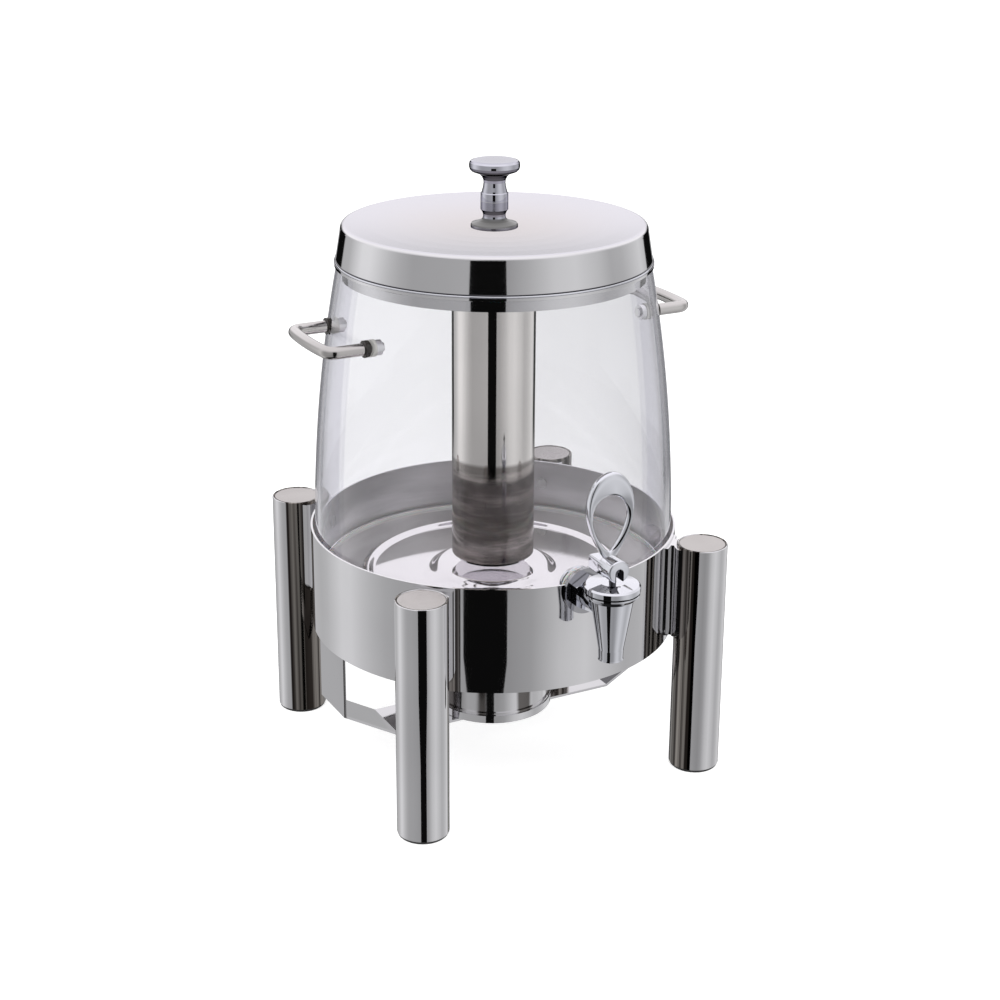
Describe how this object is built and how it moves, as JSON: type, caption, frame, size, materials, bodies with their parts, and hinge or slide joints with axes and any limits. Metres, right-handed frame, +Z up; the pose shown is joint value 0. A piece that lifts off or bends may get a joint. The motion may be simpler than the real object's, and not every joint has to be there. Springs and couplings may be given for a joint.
{
  "type": "drink dispenser",
  "caption": "Milk dispenser: clear barrel with a lift-off lid and hanging cooling tube, side handles and a lever tap, in a legged band stand with a fuel burner shelf.",
  "frame": {"origin": "stand's axis at floor level, midway between the four feet", "axes": "+Z up, the tap towards -Y, the side handles towards +X and -X"},
  "size_m": [0.307, 0.3387, 0.4611],
  "materials": {
    "polished steel": "mirror polished",
    "leg cap metal": "satin, fine grain",
    "plain steel": "satin",
    "chromed metal": "bright chrome",
    "brass-coloured can": "satin",
    "black rubber": "matt",
    "black plastic": "matt",
    "clear barrel": "clear and glossy",
    "seal silicone": "translucent white, soft",
    "dark washer": "matt",
    "pale washer": "soft"
  },
  "bodies": {
    "stand": {"band": "polished steel", "support_ring": "polished steel", "shelf_strap": "polished steel", "leg_front_left": "polished steel", "leg_front_right": "polished steel", "leg_rear_left": "polished steel", "leg_rear_right": "polished steel", "leg_cap_front_left": "leg cap metal", "leg_cap_front_right": "leg cap metal", "leg_cap_rear_left": "leg cap metal", "leg_cap_rear_right": "leg cap metal", "foot_front_left": "black rubber", "foot_front_right": "black rubber", "foot_rear_left": "black rubber", "foot_rear_right": "black rubber", "bracket_front_left": "polished steel", "bracket_front_right": "polished steel", "bracket_rear_left": "polished steel", "bracket_rear_right": "polished steel", "bracket_screws": "plain steel", "leg_nuts": "plain steel"},
    "burner": {"burner_cup": "polished steel", "burner_base": "polished steel", "fuel_can": "brass-coloured can", "cover_pin": "plain steel"},
    "burner_cover": {"burner_cover": "polished steel", "cover_knob": "black plastic"},
    "vessel": {"barrel": "clear barrel", "floor_pan": "polished steel", "pan_seal": "seal silicone", "handle_left": "polished steel", "handle_right": "polished steel", "handle_outer_washers": "dark washer", "handle_inner_washers": "pale washer", "handle_nuts": "polished steel", "tap_body": "chromed metal", "tap_outer_gasket": "seal silicone", "tap_washer": "chromed metal", "tap_outer_nut": "chromed metal", "tap_inner_gasket": "seal silicone", "tap_inner_nut": "chromed metal", "bonnet": "chromed metal", "bonnet_gasket": "seal silicone"},
    "tap_stem": {"valve_stem": "plain steel", "seat_cup": "seal silicone"},
    "tap_lever": {"tap_lever": "chromed metal", "lever_pin": "plain steel"},
    "lid": {"lid_shell": "polished steel", "lid_collar": "polished steel", "knob_head": "chromed metal", "knob_foot": "chromed metal", "knob_screw": "plain steel", "tube_socket": "plain steel"},
    "cooling_tube": {"cooling_tube": "polished steel", "tube_floor": "polished steel", "tube_lugs": "plain steel"}
  },
  "joints": [
    {"name": "vessel_lift", "type": "slide", "parent": "stand", "child": "vessel", "axis": [0, 0, 1], "range_m": [0, 0.1]},
    {"name": "lid_lift", "type": "slide", "parent": "vessel", "child": "lid", "axis": [0, 0, 1], "range_m": [0, 0.24]},
    {"name": "tube_twist", "type": "hinge", "parent": "lid", "child": "cooling_tube", "pos_m": [0, 0, 0.4], "axis": [0, 0, 1], "range_deg": [0, 50]},
    {"name": "lever_pull", "type": "hinge", "parent": "tap_stem", "child": "tap_lever", "pos_m": [0, -0.179, 0.20795], "axis": [1, 0, 0], "range_deg": [0, 45], "stiffness_Nm_per_rad": 0.15, "springref_deg": -11.46},
    {"name": "stem_lift", "type": "slide", "parent": "vessel", "child": "tap_stem", "axis": [0, 0, 1], "range_m": [0, 0.0048]},
    {"name": "burner_slide", "type": "slide", "parent": "stand", "child": "burner", "axis": [0, -1, 0], "range_m": [0, 0.19]},
    {"name": "cover_swivel", "type": "hinge", "parent": "burner", "child": "burner_cover", "pos_m": [0.039, 0, 0.0867], "axis": [0, 0, 1], "range_deg": [0, 90]}
  ],
  "couplings": [
    {"joint": "stem_lift", "follows": "lever_pull", "m_per_rad": 0.006}
  ]
}
